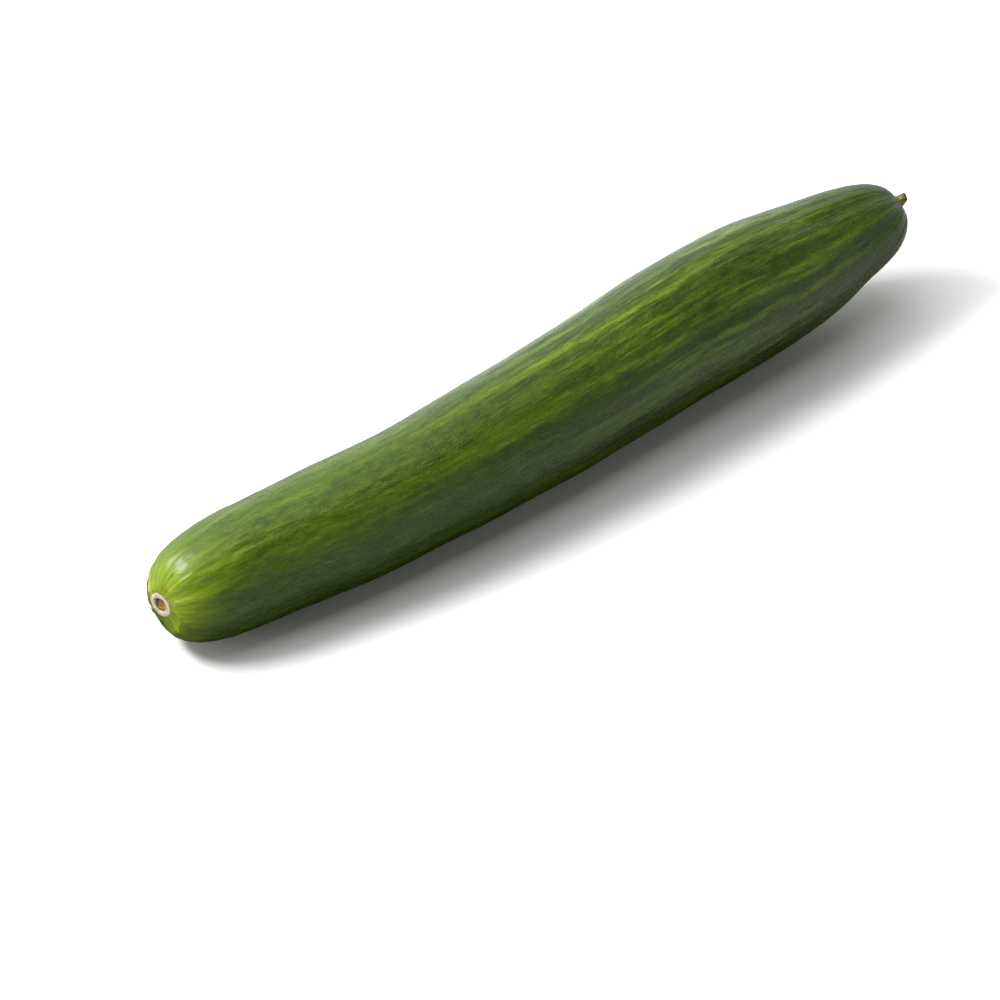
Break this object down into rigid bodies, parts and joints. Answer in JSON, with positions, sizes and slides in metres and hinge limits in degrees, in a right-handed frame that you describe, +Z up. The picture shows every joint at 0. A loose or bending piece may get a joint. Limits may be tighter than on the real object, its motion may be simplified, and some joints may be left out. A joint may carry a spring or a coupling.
{
  "type": "cucumber",
  "caption": "Long greenhouse cucumber lying on its side, gently curved, with a corky blossom scar at one end and a cut stub of stalk at the other.",
  "frame": {"origin": "on the surface the cucumber lies on, under the middle of its bounding box", "axes": "+X along the cucumber from the blossom end to the stem end, +Z up, +Y completes the right-handed set"},
  "size_m": [0.3298, 0.0568, 0.0489],
  "materials": {
    "skin": "thin waxy vegetable skin, dark green with fine lighter lengthwise streaks, yellow-green round the pale corky blossom scar",
    "stalk": "fibrous olive-green stalk, dull, with a dried brown cut end"
  },
  "bodies": {
    "root": {"fruit": "skin", "stem_stub": "stalk"}
  },
  "joints": []
}
